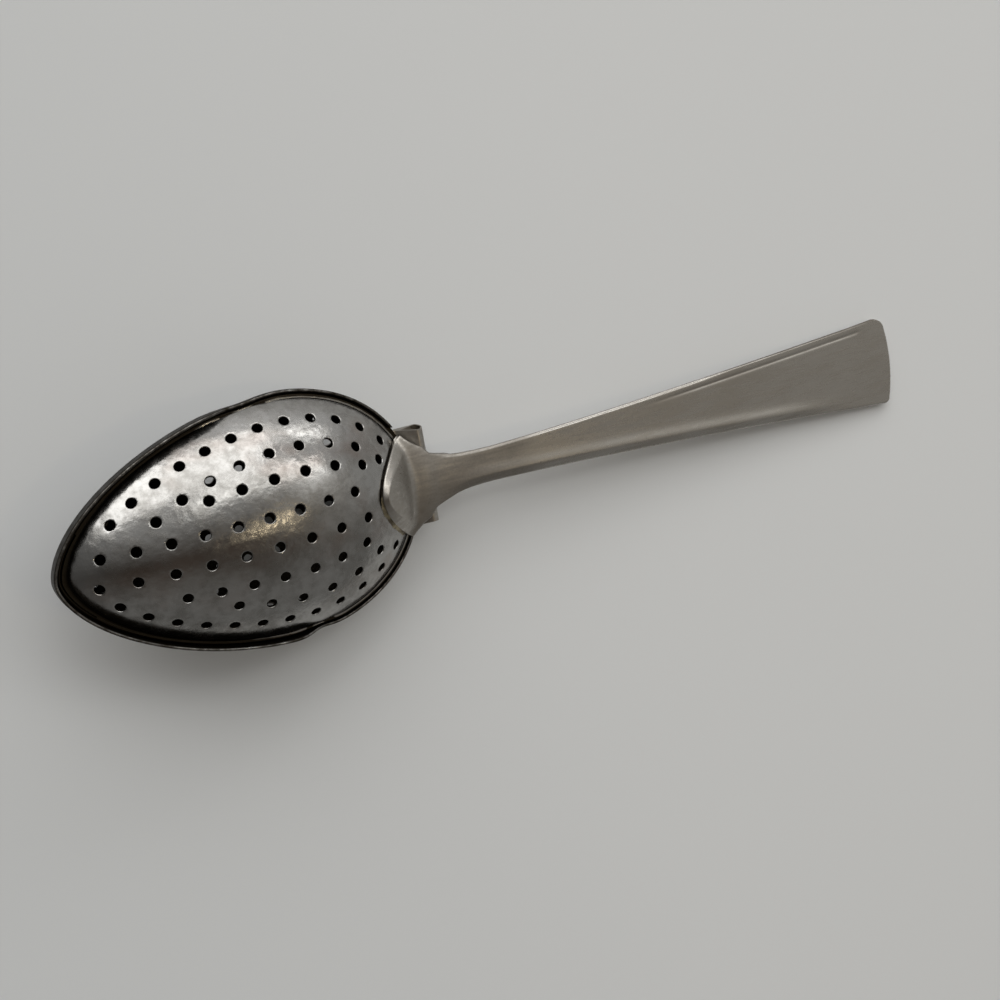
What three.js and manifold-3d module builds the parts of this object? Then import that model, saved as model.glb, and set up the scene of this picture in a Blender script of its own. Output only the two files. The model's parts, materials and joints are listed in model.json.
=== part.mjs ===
// A tea infuser spoon, lying face down on its hinged lid and on the end of its handle.
// A stamped handle carries a perforated bowl. A second perforated bowl is the lid: it is
// hinged at the neck and its rim stands up round the rim of the first one.
//
// Lengths are in millimetres. The spoon is drawn in a frame of its own: X runs along the
// handle, away from the hinge, Y across it, and Z out of the back of the fixed bowl, with
// Z = 0 on the face where the two bowls meet. The last section lays it down.

import * as THREE from 'three';
import { mergeVertices } from 'three/addons/utils/BufferGeometryUtils.js';
import Module from 'manifold-3d';

const wasm = await Module();
wasm.setup();

// Driving dimensions: the lid's rim, seen from above
const heelX = -2.5; // where the rim ends, next to the hinge
const heelReach = 23.5; // from there to the line where the bowls are widest
const tipReach = 36; // from that line to the tip
const halfWidth = 19.9;
const tipRoundness = 1.7; // powers of the tip's curve, 2 and 0.5 make an ellipse
const tipFullness = 0.6;

// Driving dimensions: sheet metal of the two bowls
const sheet = 0.5;
const bowlHeight = 9.5;
const lidDepth = 10;
const domePower = 2.2; // powers of the dome's curve
const domeFullness = 0.7;
const rimClearance = 0.35; // between the lid's rim and the bowl's flange
const seatGap = 0.3; // between pieces that rest on each other
const flangeAtTip = 2.3;
const flangeAtSide = 0.8;
const flangeAtHeel = 0.4;

// Driving dimensions: the lid's standing rim
const rimHigh = 2.3; // on the tip half, above the meeting face
const rimLow = 0.9; // on the hinge half
const rimStepFar = -7; // where it steps down on the +Y side, from the widest line
const rimStepNear = 1; // and on the -Y side
const rimStepLength = 4;
const rimOpeningGap = 0.8; // the rim stops this far from the handle's tongue

// Driving dimensions: holes
const holeRadius = 0.8;
const holeSides = 6;
const drillLength = 3;
// Each row follows the bowl's outline. The values are shares of the dome's own half width and
// of its reach to the tip and to the heel: how wide the row is, how far its curve would
// reach, and where its first and last hole lie.
const holeRows = [
  { side: 1, count: 9, width: 0.137, tip: 3, heel: 2, first: -0.89, last: 0.43 },
  { side: -1, count: 9, width: 0.126, tip: 3, heel: 2, first: -0.92, last: 0.5 },
  { side: 1, count: 6, width: 0.43, tip: 1.2, heel: 0.81, first: -0.39, last: 0.55 },
  { side: -1, count: 7, width: 0.4, tip: 1.6, heel: 0.81, first: -0.57, last: 0.46 },
  { side: 1, count: 9, width: 0.64, tip: 0.79, heel: 0.8, first: -0.63, last: 0.71 },
  { side: -1, count: 6, width: 0.65, tip: 0.79, heel: 0.8, first: -0.35, last: 0.58 },
  { side: 1, count: 12, width: 0.85, tip: 0.96, heel: 0.91, first: -0.81, last: 0.785 },
  { side: -1, count: 12, width: 0.84, tip: 0.96, heel: 0.91, first: -0.85, last: 0.75 },
];

// Driving dimensions: hinge
const pinRadius = 0.5;
const pinPlay = 0.3;
const pinRecess = 0.4; // the pin stops inside the barrel's ends
const barrelWall = 0.3;
const barrelHalf = 7.9;
const barrelGap = 1; // between the barrel and the lid's rim
const leafThickness = 0.6;
const lugHalf = 2.4; // the handle's knuckle, in the middle of the barrel
const webInset = 0.3; // the knuckle's web is this much narrower on each side
const hingeClearance = 0.3;

// Driving dimensions: handle
const tongueHalf = 8.4; // the root lies over the heel of the fixed bowl
const tongueReach = 11.6;
const tongueCornerX = -5.5;
const tongueCurve = 1.85;
const tongueThickness = 1.3;
const tongueEdge = 0.75; // thickness left at the bevelled edge
const tongueBevel = 0.7;
const tongueOnDome = 0.25; // share of the tongue that only follows the dome
const rootX = 2; // where the tongue has narrowed
const rootHalf = 3.7;
const rootCurve = 2; // power of the narrowing
const neckStart = 6;
const neckEnd = 10; // from here the handle widens
const neckHalf = 2.95;
const neckThickness = 2.5;
const neckGap = 0.65; // above the hinge's barrel and the bowl's flange
const neckCrown = 0.5; // how much rounder the neck is than the flat end
const flatStart = 57; // from here the handle is flat and thin
const handleReach = 94.6;
const handleRise = 0.0985; // the handle leans towards the bowl's back
const endHalf = 8.25;
const endThickness = 1.4;
const endBow = 1.4;
const endCorner = 1.6;
const taperPower = 1.33;
const edgeBevel = 0.3;

// Driving dimensions: solder
const solderWidth = 0.8;
const solderHeight = 0.6;
const solderEdge = 0.12; // thickness of the bead's thin edge
const solderShare = 0.9; // share of the tongue's edge that is soldered

// Fineness of the faceted shapes
const turnSteps = 40;
const domeRings = [0.25, 0.48, 0.66, 0.8, 0.9, 0.97, 1];
const acrossSteps = [-1, -0.86, -0.6, -0.3, 0, 0.3, 0.6, 0.86, 1];
const roundSides = 16;
const tongueSteps = [0.12, 0.3, 0.48, 0.66, 0.82, 1];
const stemSteps = 12;
const endCornerSteps = [0, 0.5, 1];
const solderSteps = 12;
const rowSteps = 400;
const searchSteps = 40;
const mergeDistance = 1e-5;

// Heights and places that follow from the driving dimensions
const widestX = heelX - heelReach;
const ledgeTop = -seatGap;
const ledgeBottom = ledgeTop - sheet;
const barrelRadius = pinRadius + pinPlay + barrelWall;
const barrelBottom = ledgeBottom - seatGap - leafThickness;
const pinX = heelX + barrelGap + barrelRadius;
const pinZ = barrelBottom + barrelRadius;
const neckBottom = Math.max(sheet, pinZ + barrelRadius) + neckGap;
const taperEnd = handleReach - endCorner - endBow;

// Outlines of the bowls: an ellipse on the heel side, a fuller point on the tip side

function outline(tip, heel, half) {
  return { tip, heel, half };
}

function shrink(shape, inset) {
  return outline(shape.tip - inset, shape.heel - inset, shape.half - inset);
}

function outlinePoint(shape, angle, share = 1) {
  const along = Math.cos(angle);
  const across = Math.sin(angle);
  if (along >= 0) {
    return [widestX + share * shape.heel * along, share * shape.half * across];
  }
  const x = widestX - share * shape.tip * Math.abs(along) ** (2 / tipRoundness);
  return [x, share * shape.half * Math.sign(across) * Math.abs(across) ** (2 * tipFullness)];
}

function halfAcross(shape, x) {
  const along = x - widestX;
  if (along >= 0) {
    return shape.half * Math.sqrt(Math.max(0, 1 - (along / shape.heel) ** 2));
  }
  const left = Math.max(0, 1 - (-along / shape.tip) ** tipRoundness);
  return shape.half * left ** tipFullness;
}

const rim = outline(tipReach, heelReach, halfWidth);
const flange = shrink(rim, sheet + rimClearance);
const foot = outline(flange.tip - flangeAtTip, flange.heel - flangeAtHeel, flange.half - flangeAtSide);

function domeShare(share) {
  return Math.max(0, 1 - share ** domePower) ** domeFullness;
}

// How far a plan point lies from the middle of an outline, with 1 on the outline itself
function shareAt(shape, x, y) {
  const farthest = 4;
  let low = 0;
  let high = farthest;
  for (let i = 0; i < searchSteps; i += 1) {
    const share = (low + high) / 2;
    const scaled = outline(shape.tip * share, shape.heel * share, shape.half * share);
    if (Math.abs(y) < halfAcross(scaled, x)) high = share;
    else low = share;
  }
  return high;
}

// The back of the fixed bowl, or a surface at a distance outside it
function backOfBowl(x, y, outside = 0) {
  return sheet + outside + (bowlHeight - sheet) * domeShare(shareAt(shrink(foot, -outside), x, y));
}

// Closed meshes

function bufferGeometry(points, triangles) {
  const geometry = new THREE.BufferGeometry();
  geometry.setAttribute('position', new THREE.Float32BufferAttribute(points.flat(), 3));
  geometry.setIndex(triangles.flat());
  return geometry;
}

// Rings of equal length from one pole to the other
function turned(firstPole, rings, lastPole) {
  const count = rings[0].length;
  const points = [firstPole, ...rings.flat(), lastPole];
  const at = (ring, step) => 1 + ring * count + (step % count);
  const triangles = [];
  for (let step = 0; step < count; step += 1) {
    triangles.push([0, at(0, step), at(0, step + 1)]);
    for (let ring = 0; ring < rings.length - 1; ring += 1) {
      triangles.push([at(ring, step), at(ring + 1, step), at(ring + 1, step + 1)]);
      triangles.push([at(ring, step), at(ring + 1, step + 1), at(ring, step + 1)]);
    }
    triangles.push([points.length - 1, at(rings.length - 1, step + 1), at(rings.length - 1, step)]);
  }
  return bufferGeometry(points, triangles);
}

// Sections with an upper and a lower line, joined one after the other and closed at both ends
function lofted(sections) {
  const lineLength = sections[0].upper.length;
  const ringLength = 2 * lineLength;
  const points = sections.flatMap((section) => [...section.upper, ...section.lower.toReversed()]);
  const at = (section, step) => section * ringLength + (step % ringLength);
  const triangles = [];
  for (let section = 0; section < sections.length - 1; section += 1) {
    for (let step = 0; step < ringLength; step += 1) {
      triangles.push([at(section, step), at(section + 1, step), at(section + 1, step + 1)]);
      triangles.push([at(section, step), at(section + 1, step + 1), at(section, step + 1)]);
    }
  }
  const last = sections.length - 1;
  for (let step = 0; step < lineLength - 1; step += 1) {
    const below = ringLength - 1 - step;
    triangles.push([at(0, step), at(0, step + 1), at(0, below - 1)]);
    triangles.push([at(0, step), at(0, below - 1), at(0, below)]);
    triangles.push([at(last, step + 1), at(last, step), at(last, below - 1)]);
    triangles.push([at(last, step), at(last, below), at(last, below - 1)]);
  }
  return bufferGeometry(points, triangles);
}

// A flat outline in X and Z, pushed out along Y from -half to +half
function alongY(points, half) {
  const shape = new THREE.Shape(points.map(([x, z]) => new THREE.Vector2(x, z)));
  const geometry = new THREE.ExtrudeGeometry(shape, { depth: 2 * half, bevelEnabled: false });
  return geometry.rotateX(Math.PI / 2).translate(0, half, 0);
}

function box(fromX, toX, fromY, toY, fromZ, toZ) {
  const geometry = new THREE.BoxGeometry(toX - fromX, toY - fromY, toZ - fromZ);
  return geometry.translate((fromX + toX) / 2, (fromY + toY) / 2, (fromZ + toZ) / 2);
}

function rodAlongY(radius, half) {
  return new THREE.CylinderGeometry(radius, radius, 2 * half, roundSides).translate(pinX, 0, pinZ);
}

function solid(geometry) {
  const bare = geometry.clone();
  bare.deleteAttribute('normal');
  bare.deleteAttribute('uv');
  const merged = mergeVertices(bare, mergeDistance);
  return new wasm.Manifold(
    new wasm.Mesh({
      numProp: 3,
      vertProperties: new Float32Array(merged.attributes.position.array),
      triVerts: new Uint32Array(merged.index.array),
    }),
  );
}

function geometryOf(manifold) {
  const mesh = manifold.getMesh();
  const geometry = new THREE.BufferGeometry();
  geometry.setAttribute('position', new THREE.BufferAttribute(new Float32Array(mesh.vertProperties), 3));
  geometry.setIndex(new THREE.BufferAttribute(new Uint32Array(mesh.triVerts), 1));
  return geometry;
}

// Holes

function rowPoint(row, x) {
  const line = outline(foot.tip * row.tip, foot.heel * row.heel, foot.half * row.width);
  return [x, row.side * halfAcross(line, x)];
}

// The holes of a row lie at even steps along it
function rowHoles(row) {
  const reach = (share) => widestX + share * (share < 0 ? foot.tip : foot.heel);
  const from = reach(row.first);
  const to = reach(row.last);
  const track = [];
  let length = 0;
  for (let i = 0; i <= rowSteps; i += 1) {
    const [x, y] = rowPoint(row, from + ((to - from) * i) / rowSteps);
    if (i > 0) length += Math.hypot(x - track[i - 1].x, y - track[i - 1].y);
    track.push({ x, y, length });
  }
  return Array.from({ length: row.count }, (_, hole) => {
    const wanted = (length * hole) / (row.count - 1);
    const { x, y } = track.find((point) => point.length >= wanted) ?? track.at(-1);
    return [x, y];
  });
}

function drill(x, y) {
  const step = 0.05;
  const slopeX = (backOfBowl(x + step, y) - backOfBowl(x - step, y)) / (2 * step);
  const slopeY = (backOfBowl(x, y + step) - backOfBowl(x, y - step)) / (2 * step);
  const normal = new THREE.Vector3(-slopeX, -slopeY, 1).normalize();
  const turn = new THREE.Quaternion().setFromUnitVectors(new THREE.Vector3(0, 1, 0), normal);
  const cylinder = new THREE.CylinderGeometry(holeRadius, holeRadius, drillLength, holeSides);
  return cylinder.applyQuaternion(turn).translate(x, y, backOfBowl(x, y));
}

function perforated(shell, toShell) {
  const holes = holeRows.flatMap(rowHoles);
  return holes.reduce((left, [x, y]) => left.subtract(solid(toShell(drill(x, y)))), shell);
}

// The two bowls

function ringAt(shape, share, height) {
  return Array.from({ length: turnSteps }, (_, step) => {
    const angle = (2 * Math.PI * step) / turnSteps;
    const [x, y] = outlinePoint(shape, angle, share);
    return [x, y, typeof height === 'function' ? height(x, y) : height];
  });
}

function fixedBowl() {
  const inner = shrink(foot, sheet);
  const outerDome = domeRings.map((share) => {
    return ringAt(foot, share, sheet + (bowlHeight - sheet) * domeShare(share));
  });
  const innerDome = domeRings.map((share) => {
    return ringAt(inner, share, (bowlHeight - sheet) * domeShare(share));
  });
  const rings = [
    ...outerDome,
    ringAt(flange, 1, sheet),
    ringAt(flange, 1, 0),
    ...innerDome.toReversed(),
  ];
  const shell = turned([widestX, 0, bowlHeight], rings, [widestX, 0, bowlHeight - sheet]);
  return geometryOf(perforated(solid(shell), (hole) => hole));
}

function rimTop(x, y) {
  const middle = widestX + (y > 0 ? rimStepFar : rimStepNear);
  const way = THREE.MathUtils.smoothstep(x, middle - rimStepLength / 2, middle + rimStepLength / 2);
  return rimHigh + (rimLow - rimHigh) * way;
}

function lidBowl() {
  const inner = shrink(foot, sheet);
  const insideRim = shrink(rim, sheet);
  const crown = ledgeTop - lidDepth;
  const outerDome = domeRings.map((share) => {
    return ringAt(foot, share, ledgeBottom + (crown - ledgeBottom) * domeShare(share));
  });
  const innerDome = domeRings.map((share) => {
    return ringAt(inner, share, ledgeTop + (crown + sheet - ledgeTop) * domeShare(share));
  });
  const rings = [
    ...innerDome,
    ringAt(insideRim, 1, ledgeTop),
    ringAt(insideRim, 1, rimTop),
    ringAt(rim, 1, rimTop),
    ringAt(rim, 1, ledgeBottom),
    ...outerDome.toReversed(),
  ];
  const shell = turned([widestX, 0, crown + sheet], rings, [widestX, 0, crown]);
  const openingHalf = tongueHalf + rimOpeningGap;
  const opening = box(widestX, 0, -openingHalf, openingHalf, ledgeTop, 2 * rimHigh);
  const belowBowl = (hole) => {
    const mirrored = hole.clone().scale(1, 1, -lidDepth / bowlHeight);
    mirrored.setIndex(Array.from(hole.index.array).toReversed());
    return mirrored;
  };
  return geometryOf(perforated(solid(shell).subtract(solid(opening)), belowBowl));
}

// Hinge

function circlePoints(radius, from, to) {
  return Array.from({ length: roundSides }, (_, step) => {
    const angle = from + ((to - from) * step) / (roundSides - 1);
    return [pinX + radius * Math.cos(angle), pinZ + radius * Math.sin(angle)];
  });
}

// The leaf runs from the barrel to the underside of the lid's ledge and stops at its dome
function lidLeaf() {
  const leafTop = ledgeBottom - seatGap;
  const startAngle = Math.PI - Math.asin((leafTop - pinZ) / barrelRadius);
  const roll = circlePoints(barrelRadius, startAngle, -Math.PI / 2);
  const profile = [...roll, [widestX, barrelBottom], [widestX, leafTop]];
  const wall = outlinePrism(foot, seatGap, 2 * barrelBottom, 0);
  const bore = rodAlongY(pinRadius + pinPlay, 2 * barrelHalf);
  const notchX = pinX - barrelRadius - hingeClearance;
  const notchHalf = lugHalf + hingeClearance;
  const notch = box(notchX, 2 * barrelRadius, -notchHalf, notchHalf, 2 * barrelBottom, barrelRadius);
  return geometryOf(
    solid(alongY(profile, barrelHalf))
      .subtract(solid(wall))
      .subtract(solid(bore))
      .subtract(solid(notch)),
  );
}

function outlinePrism(shape, outset, fromZ, toZ) {
  const grown = shrink(shape, -outset);
  return turned(
    [widestX, 0, toZ],
    [ringAt(grown, 1, toZ), ringAt(grown, 1, fromZ)],
    [widestX, 0, fromZ],
  );
}

function handleLug() {
  const webTop = neckBottom - seatGap;
  const webHalf = barrelRadius - webInset;
  const webAngle = Math.acos(webHalf / barrelRadius);
  const roll = circlePoints(barrelRadius, Math.PI - webAngle, 2 * Math.PI + webAngle);
  const profile = [...roll, [pinX + webHalf, webTop], [pinX - webHalf, webTop]];
  const bore = rodAlongY(pinRadius + pinPlay, 2 * lugHalf);
  return geometryOf(solid(alongY(profile, lugHalf)).subtract(solid(bore)));
}

function hingePin() {
  return rodAlongY(pinRadius, barrelHalf - pinRecess);
}

// Handle: one stamping, from the tongue over the bowl's heel to the broad flat end

function edgeOfTongue(v) {
  const depth = tongueReach + tongueCornerX;
  return -tongueReach + depth * Math.abs(v) ** tongueCurve;
}

function stemHalf(x) {
  const way = THREE.MathUtils.clamp((x - neckEnd) / (taperEnd - neckEnd), 0, 1);
  return neckHalf + (endHalf - neckHalf) * way ** taperPower;
}

function stemThickness(x) {
  const way = THREE.MathUtils.smoothstep(x, neckEnd, flatStart);
  return neckThickness + (endThickness - neckThickness) * way;
}

function stemTop(x) {
  return neckBottom + neckThickness + handleRise * Math.max(x, 0);
}

function stemCrown(x) {
  return neckCrown * (1 - THREE.MathUtils.smoothstep(x, neckEnd, flatStart));
}

function section(pointAt) {
  const points = acrossSteps.map(pointAt);
  return {
    upper: points.map(({ x, y, top }) => [x, y, top]),
    lower: points.map(({ x, y, bottom }) => [x, y, bottom]),
  };
}

function tongueSection(way, inset, thickness) {
  return section((v) => {
    const x = edgeOfTongue(v) + inset + (rootX - edgeOfTongue(v) - inset) * way;
    const y = v * (rootHalf + (tongueHalf - rootHalf) * (1 - way) ** rootCurve);
    const bottom = Math.max(backOfBowl(x, y, seatGap), neckBottom);
    const onDome = backOfBowl(x, y, seatGap + thickness);
    const onStem = stemTop(x) - stemCrown(x) * v * v - edgeDrop(v);
    const blend = THREE.MathUtils.smoothstep(way, tongueOnDome, 1);
    const top = Math.max(onDome, blend * onStem + (1 - blend) * onDome);
    return { x, y, top, bottom };
  });
}

function edgeDrop(v) {
  return Math.abs(v) === 1 ? edgeBevel : 0;
}

function stemSection(x, half, bow) {
  return section((v) => {
    const top = stemTop(x) - stemCrown(x) * v * v;
    return {
      x: x - bow * v * v,
      y: v * half,
      top: top - edgeDrop(v),
      bottom: stemTop(x) - stemThickness(x) + edgeDrop(v),
    };
  });
}

function handle() {
  const tongue = tongueSteps.map((way) => tongueSection(way, tongueBevel, tongueThickness));
  const straightEnd = taperEnd - endBow;
  const stem = Array.from({ length: stemSteps }, (_, i) => {
    const x = neckStart + ((straightEnd - neckStart) * i) / (stemSteps - 1);
    return stemSection(x, stemHalf(x), 0);
  });
  const corner = endCornerSteps.map((step) => {
    const angle = (step * Math.PI) / 2;
    const x = handleReach - endCorner * (1 - Math.sin(angle));
    return stemSection(x, endHalf - endCorner * (1 - Math.cos(angle)), endBow);
  });
  return lofted([
    tongueSection(0, 0, tongueEdge),
    tongueSection(0, tongueBevel, tongueThickness),
    ...tongue,
    ...stem,
    ...corner,
  ]);
}

// Solder: a bead in the corner between two pieces, described by points along the corner

function bead(corners) {
  return lofted(
    corners.map(({ inner, outer, rise }) => ({
      upper: [
        [inner[0], inner[1], inner[2] + Math.max(rise, 0)],
        [outer[0], outer[1], outer[2] + Math.max(solderEdge * Math.sign(rise), 0)],
      ],
      lower: [
        [inner[0], inner[1], inner[2] + Math.min(rise, 0)],
        [outer[0], outer[1], outer[2] + Math.min(solderEdge * Math.sign(rise), 0)],
      ],
    })),
  );
}

// On the back of the bowl, along the edge of the handle's tongue
function bowlSolder() {
  return bead(
    Array.from({ length: solderSteps + 1 }, (_, step) => {
      const v = solderShare * ((2 * step) / solderSteps - 1);
      const y = v * tongueHalf;
      const x = edgeOfTongue(v) - seatGap;
      const outerX = x - solderWidth;
      return {
        inner: [x, y, backOfBowl(x, y, seatGap)],
        outer: [outerX, y, backOfBowl(outerX, y, seatGap)],
        rise: solderHeight,
      };
    }),
  );
}

// Under the leaf, against the lid's dome
function lidSolder() {
  const halfAngle = Math.asin((barrelHalf - solderWidth) / foot.half);
  const inside = shrink(foot, -seatGap);
  const outside = shrink(inside, -solderWidth);
  const z = barrelBottom - seatGap;
  return bead(
    Array.from({ length: solderSteps + 1 }, (_, step) => {
      const angle = halfAngle * (1 - (2 * step) / solderSteps);
      return {
        inner: [...outlinePoint(inside, angle), z],
        outer: [...outlinePoint(outside, angle), z],
        rise: -solderHeight,
      };
    }),
  );
}

// Finishes

const brushedSteel = { color: 0x7f776d, roughness: 0.38, metalness: 1 };
const polishedSteel = { color: 0x9a9794, roughness: 0.2, metalness: 1 };
const tarnishedSolder = { color: 0x6e5a34, roughness: 0.45, metalness: 1 };

function piece(name, geometry, look) {
  const mesh = new THREE.Mesh(geometry, new THREE.MeshStandardMaterial(look));
  mesh.name = name;
  return mesh;
}

// The spoon, laid down so that the lid's crown and the end of the handle touch the table

const fixedPieces = new THREE.Group();
fixedPieces.add(
  piece('handle', handle(), brushedSteel),
  piece('handle_lug', handleLug(), brushedSteel),
  piece('hinge_pin', hingePin(), brushedSteel),
  piece('fixed_bowl', fixedBowl(), polishedSteel),
  piece('bowl_solder', bowlSolder(), tarnishedSolder),
);

const lidPieces = new THREE.Group();
lidPieces.add(
  piece('lid_bowl', lidBowl(), polishedSteel),
  piece('lid_leaf', lidLeaf(), brushedSteel),
  piece('lid_solder', lidSolder(), tarnishedSolder),
);

function lowestPoint(pieces, pitch) {
  pieces.rotation.y = pitch;
  const lowest = new THREE.Box3().setFromObject(pieces, true).min.z;
  pieces.rotation.y = 0;
  return lowest;
}

function restPitch() {
  let low = 0;
  let high = Math.PI / 4;
  for (let i = 0; i < searchSteps; i += 1) {
    const pitch = (low + high) / 2;
    if (lowestPoint(fixedPieces, pitch) > lowestPoint(lidPieces, pitch)) low = pitch;
    else high = pitch;
  }
  return high;
}

const spoon = new THREE.Group();
spoon.add(fixedPieces, lidPieces);
spoon.rotation.y = restPitch();
const laid = new THREE.Box3().setFromObject(spoon, true);
spoon.position.set(-(laid.min.x + laid.max.x) / 2, 0, -laid.min.z);

export default spoon;
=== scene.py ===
"""A tea infuser spoon, lying face down on a pale table, as it looks from above.

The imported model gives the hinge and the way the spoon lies. This script makes the fine
surfaces: two perforated bowls with rounded holes, a stamped handle, the hinge's rolled leaf and
the solder. Shapes are drawn in the spoon's own frame, in millimetres: x along the handle, away
from the hinge, y across it, and z out of the back of the fixed bowl, with z = 0 where the two
bowls meet. laid() turns them into the model's frame, in metres.
"""

import json
import math

import bpy
import numpy as np
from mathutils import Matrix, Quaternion, Vector


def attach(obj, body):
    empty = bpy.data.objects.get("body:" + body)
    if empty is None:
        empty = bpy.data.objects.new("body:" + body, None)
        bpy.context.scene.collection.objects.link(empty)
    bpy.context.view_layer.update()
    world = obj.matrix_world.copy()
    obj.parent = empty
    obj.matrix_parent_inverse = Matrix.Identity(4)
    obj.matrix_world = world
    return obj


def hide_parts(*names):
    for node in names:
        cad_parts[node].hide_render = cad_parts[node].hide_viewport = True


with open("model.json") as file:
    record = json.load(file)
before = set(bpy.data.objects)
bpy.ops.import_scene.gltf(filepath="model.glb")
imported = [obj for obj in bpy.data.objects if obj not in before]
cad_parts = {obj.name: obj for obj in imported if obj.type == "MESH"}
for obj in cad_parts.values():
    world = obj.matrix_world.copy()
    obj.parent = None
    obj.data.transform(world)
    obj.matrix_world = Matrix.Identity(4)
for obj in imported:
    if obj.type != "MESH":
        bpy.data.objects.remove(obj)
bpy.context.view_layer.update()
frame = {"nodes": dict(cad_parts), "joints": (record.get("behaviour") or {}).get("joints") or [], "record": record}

MM = 0.001
SHARP_DEGREES = 40

# Sizes are in millimetres, turns and slopes in mm across for each mm along, and angles in
# degrees. Most are the model's own. The bowls' reach, width, height and fullness, the tongue,
# and the handle's end and taper differ from it by a few tenths at most.

# Both bowls
HEEL_X = -2.5
HEEL_REACH, TIP_REACH, HALF_WIDTH = 23.5, 35.7, 19.58
WIDEST_X = HEEL_X - HEEL_REACH
TIP_ROUNDNESS, TIP_FULLNESS = 1.7, 0.6
HEEL_ROUNDNESS = 2.12
BOWL_TURN = 0.011
SHEET = 0.5
SEAT_GAP = 0.3
BOWL_HEIGHT, LID_DEPTH = 9.4, 10.0
LID_TO_BOWL = LID_DEPTH / BOWL_HEIGHT
DOME_POWER, DOME_FULLNESS = 2.2, 0.84
BOWL_COLUMNS, BACK_RINGS, LID_RINGS = 320, 80, 70

# The fixed bowl's flange, with a small bead along its edge
FLANGE_AT_TIP, FLANGE_AT_SIDE, FLANGE_AT_HEEL = 2.3, 0.8, 0.4
FLANGE_CORNER, CORNER_SHARE = 0.4, 0.45
BACK_AT_TIP, BACK_AT_SIDE, BACK_AT_HEEL = 1.2, 0.45, 0.1
EDGE_BEAD, EDGE_BEAD_HEIGHT, BEAD_RINGS = 0.5, 0.14, 9

# The lid's ledge and standing rim
LEDGE_Z = -SEAT_GAP
LID_GROUND_CLEARANCE = 0.05
MOUTH_SHARE = 0.993
RIM_CLEARANCE = 0.35
RIM_CORNER, RIM_LIP = 0.3, SHEET / 2
RIM_BASE = LEDGE_Z + RIM_CORNER
RIM_HIGH, RIM_LOW = 2.3, 0.9
RIM_STEP_FAR, RIM_STEP_NEAR, RIM_STEP_LENGTH = -7.0, 1.0, 5.5
RIM_OPENING_HALF = 9.2

# Where the rim steps down, it is pressed in: by how much, where along x, and how far
PINCH_FAR, PINCH_NEAR = (0.5, -29.0, 4.2), (0.5, -24.0, 2.6)

HOLE_RADIUS = 0.79
HOLE_LIP = 0.17

# The hinge
PIN_X, PIN_Z = -0.4, -0.6
PIN_RADIUS, PIN_SUNK, PIN_CHAMFER = 0.5, 1.3, 0.15
BORE_RADIUS = 0.8
BARREL_RADIUS, BARREL_HALF = 1.1, 7.9
LUG_HALF = 2.4
HINGE_CLEARANCE = 0.3
LEAF_THICKNESS = 0.6
LEAF_ANGLE, LEAF_FOOT_X, LEAF_END_X = 104, -4.0, -9.0
LEAF_LEAVING, LEAF_LANDING = 2.2, 1.5
NEAR_END_MORE, NEAR_END_SLANT, FAR_END_MORE, FAR_END_SLANT = 0.25, 0.1, 0.5, 0.32

# The tongue over the fixed bowl, and the crease and neck behind it
TONGUE_HALF, TONGUE_REACH, TONGUE_CORNER_X, TONGUE_CURVE = 8.4, 11.6, -5.0, 1.85
TONGUE_THICKNESS, TONGUE_EDGE, TONGUE_BEVEL = 1.2, 0.42, 0.8
TONGUE_TURN, TONGUE_SHIFT = 0.055, -0.55
TONGUE_GAP = 0.08
TONGUE_END, ROOT_X = 3.0, 3.5
CREASE_X, CREASE_CURVE, CREASE_SLOPE, CREASE_SOFTNESS = -2.2, 0.03, 0.26, 0.9
CREASE_SHARE, CREASE_ROOM = 0.35, 0.3
NECK_SOFTNESS, NECK_CROWN = 0.8, 0.02
NECK_HALF, NECK_END, NECK_THICKNESS, NECK_BOTTOM = 2.95, 10.0, 2.5, 1.15
FLARE_END, FLARE_POWER = 12.0, 4.1

# The handle
HANDLE_REACH, HANDLE_RISE = 93.65, 0.0985
FLAT_START, END_START = 57.0, 85.0
END_HALF, END_THICKNESS, END_BOW = 8.2, 1.4, 1.15
END_CORNER_FAR, END_CORNER_NEAR = 2.2, 0.7
TAPER_END, TAPER_POWER = 91.6, 1.28
ROLL_OFF, ROLL_OFF_DEPTH, ROLL_OFF_POWER = 1.4, 0.2, 1.25
RIDGE, RIDGE_WIDTH = 0.2, 1.2
THREAD_DEPTH, THREAD_HALF, THREAD_INSET = 0.075, 0.26, 1.35
THREAD_START, THREAD_FADE, THREAD_END = 38.0, 14.0, 87.3
FAR_BEVEL, FAR_BEVEL_SLOPE = 0.42, 0.62
TONGUE_SIDE_ROUND, TONGUE_TIP_ROUND, SIDE_ROUND = 0.14, 0.12, 0.3
LEAST_THICKNESS, SIDE_TUCK = 0.25, 0.22

# How far the handle's last three rows lie inside its faces, for the rounded edge of its end
END_ROUNDING = np.array([[0.03], [0.1], [0.3]])

# The way the spoon lies, from the model's hinge and from the slope of the handle's flat back
hinge = np.array(frame["joints"][0]["pos_m"])
back_normal = next(m["axis"] for m in frame["record"]["mounts"] if m["name"] == "handle_back")
LYING_PITCH = math.atan2(back_normal[0], back_normal[2]) + math.atan(HANDLE_RISE)


def laid(points):
    """Points in mm of the spoon's frame, turned by LYING_PITCH about the hinge pin, in metres."""
    points = np.asarray(points, float)
    x, y, z = points[..., 0] - PIN_X, points[..., 1], points[..., 2] - PIN_Z
    turned_x = x * math.cos(LYING_PITCH) + z * math.sin(LYING_PITCH)
    turned_z = z * math.cos(LYING_PITCH) - x * math.sin(LYING_PITCH)
    return np.stack([turned_x, y, turned_z], axis=-1) * MM + hinge


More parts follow.
